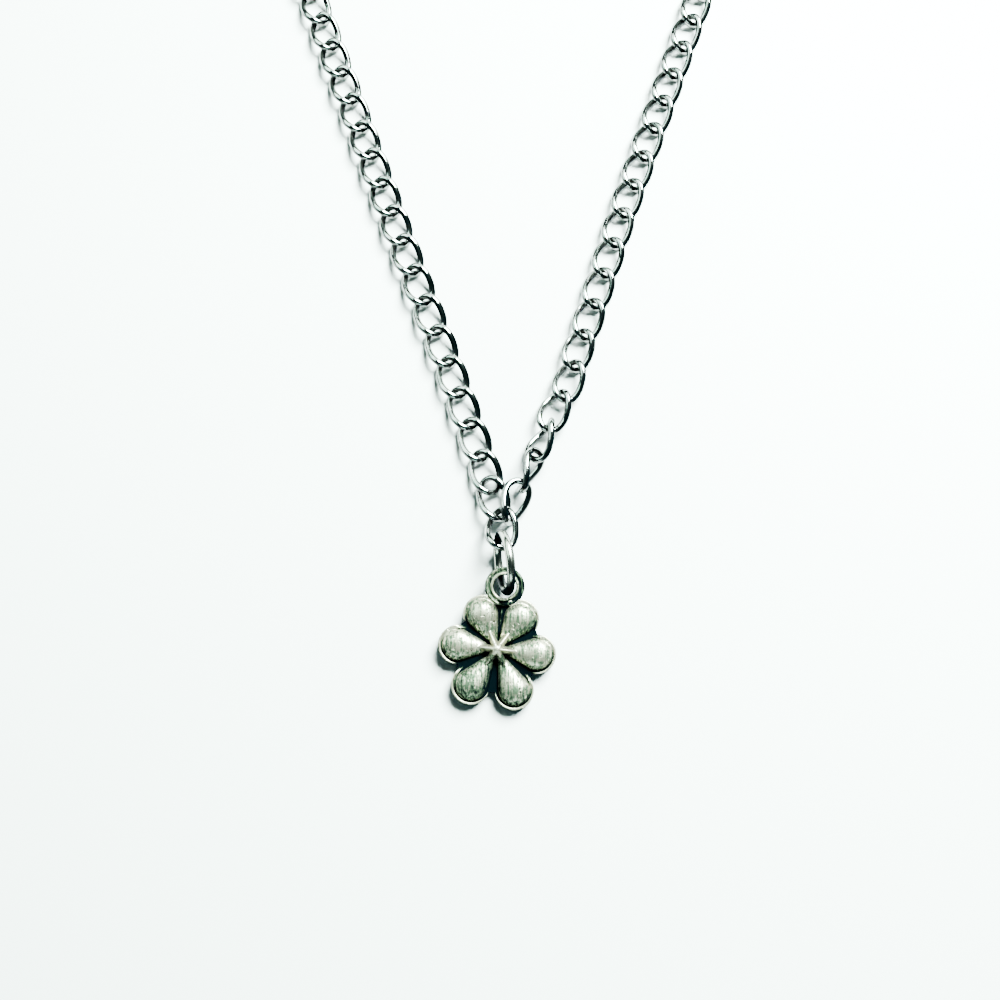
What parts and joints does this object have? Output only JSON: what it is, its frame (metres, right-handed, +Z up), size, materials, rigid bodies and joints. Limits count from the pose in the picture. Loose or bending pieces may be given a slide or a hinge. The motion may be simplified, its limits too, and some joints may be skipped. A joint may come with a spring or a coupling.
{
  "type": "flower pendant necklace",
  "caption": "Small cast flower charm with domed petals and an eyelet, on a round jump ring and a fine twisted curb chain that closes in a loop, lying flat",
  "frame": {"origin": "on the surface that the necklace lies on, under the middle of its box", "axes": "+Z up from the surface, +Y from the flower along the open loop to the clasp at the back, +X across the loop"},
  "size_m": [0.1009, 0.2057, 0.0068],
  "materials": {
    "antique_silver": "cast silver alloy, antiqued dark in the recesses and rubbed bright on the high parts, with fine scratches",
    "ring_silver": "polished warm silver wire",
    "chain_silver": "bright polished silver wire"
  },
  "bodies": {
    "root": {"flower": "antique_silver", "jump_ring": "ring_silver", "centre_link": "chain_silver", "chain_left": "chain_silver", "chain_right": "chain_silver", "clasp": "chain_silver"}
  },
  "joints": []
}
